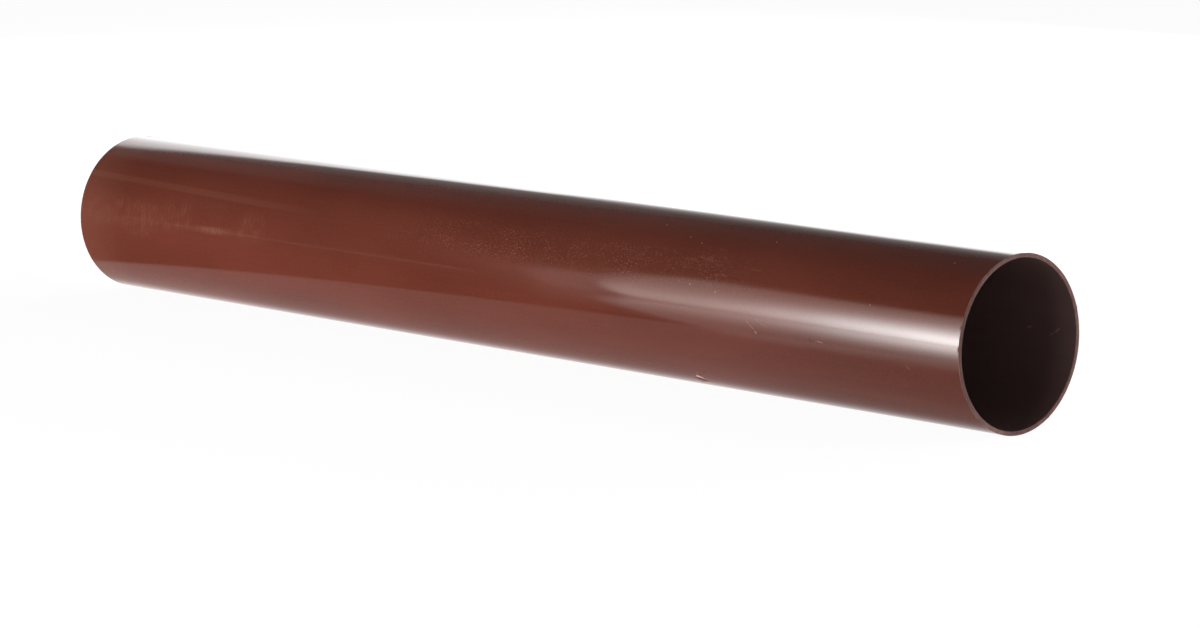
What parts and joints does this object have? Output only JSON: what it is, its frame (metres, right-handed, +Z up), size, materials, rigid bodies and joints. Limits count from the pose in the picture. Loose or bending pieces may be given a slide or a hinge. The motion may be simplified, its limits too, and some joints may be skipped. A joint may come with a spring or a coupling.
{
  "type": "downpipe",
  "caption": "Straight round rainwater downpipe: a thin-walled plastic tube with plain square-cut ends that carries roof water down a wall and joins other fittings end to end.",
  "frame": {"origin": "on the floor, under the middle of the pipe's length and width", "axes": "+X along the pipe's axis, +Y level across it, +Z up from the floor the pipe lies on"},
  "size_m": [0.613, 0.0799, 0.08],
  "materials": {
    "brown_pvc": "satin"
  },
  "bodies": {
    "root": {"downpipe": "brown_pvc"}
  },
  "joints": []
}
